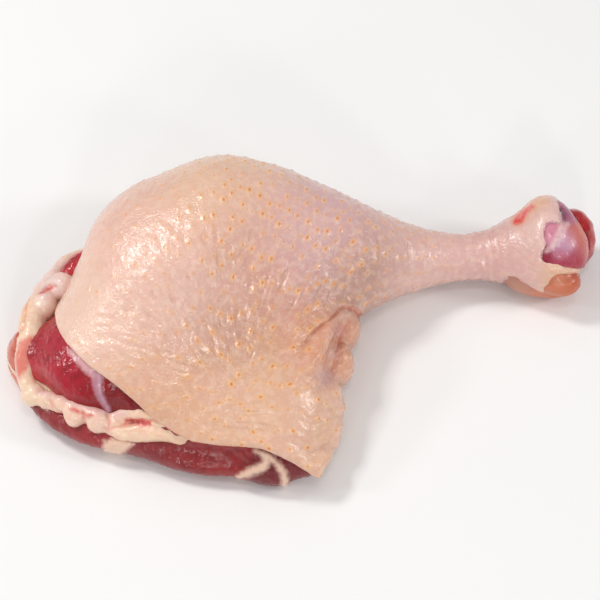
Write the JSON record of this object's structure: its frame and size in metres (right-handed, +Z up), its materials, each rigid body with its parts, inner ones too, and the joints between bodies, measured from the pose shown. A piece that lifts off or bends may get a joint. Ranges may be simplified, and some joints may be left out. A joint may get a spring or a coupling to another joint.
{
  "type": "raw duck leg",
  "caption": "Raw duck leg lying skin side up, with pale dimpled skin, cut dark red thigh meat edged with cream fat, and a cut hock joint at the end of the drumstick.",
  "frame": {"origin": "middle of the leg's bounding box, at the height of the surface it rests on", "axes": "+X from the thigh to the hock at the end of the drumstick, +Y from the front cut edge of the thigh to its back, +Z up through the skin side"},
  "size_m": [0.192, 0.1098, 0.0492],
  "materials": {
    "skin": "moist pale peach skin with orange feather pits",
    "outer_muscle": "wet dark red meat",
    "inner_muscle": "wet dull red meat",
    "seam_fat": "soft cream fat",
    "leg_bone": "wet pink-lavender cartilage",
    "tendon_pad": "moist orange-tan tendon pad",
    "hock_flesh": "wet dark red meat"
  },
  "bodies": {
    "root": {"skin": "skin", "outer_muscle": "outer_muscle", "inner_muscle": "inner_muscle", "seam_fat": "seam_fat", "leg_bone": "leg_bone", "tendon_pad": "tendon_pad", "hock_flesh": "hock_flesh"}
  },
  "joints": []
}
